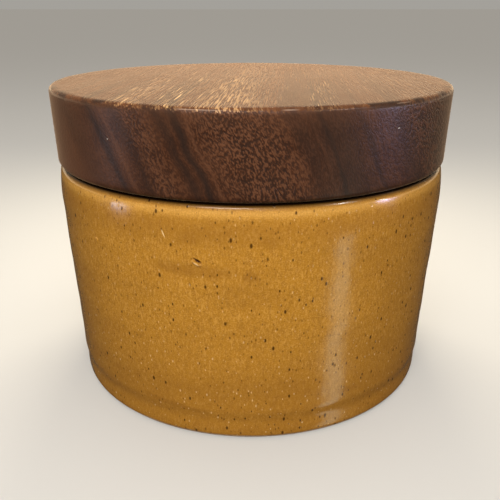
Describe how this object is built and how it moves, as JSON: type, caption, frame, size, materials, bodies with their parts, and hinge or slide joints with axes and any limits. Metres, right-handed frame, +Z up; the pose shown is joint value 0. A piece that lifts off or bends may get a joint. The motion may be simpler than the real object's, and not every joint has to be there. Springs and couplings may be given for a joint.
{
  "type": "ceramic tobacco jar",
  "caption": "Squat round stoneware jar with gently flaring glazed walls, closed by a thick wooden lid whose plug drops into the mouth.",
  "frame": {"origin": "centre of the foot, on the surface that the jar stands on", "axes": "+Z up along the axis that both pieces are turned about; the small nick in the glaze is near -Y, the front"},
  "size_m": [0.124, 0.124, 0.0939],
  "materials": {
    "glazed_stoneware": "glossy ochre glaze with dark iron specks, bare clay under the foot",
    "lid_wood": "dark brown hardwood with a satin oiled side and a dry, worn, paler top"
  },
  "bodies": {
    "root": {"jar": "glazed_stoneware", "lid": "lid_wood"}
  },
  "joints": []
}
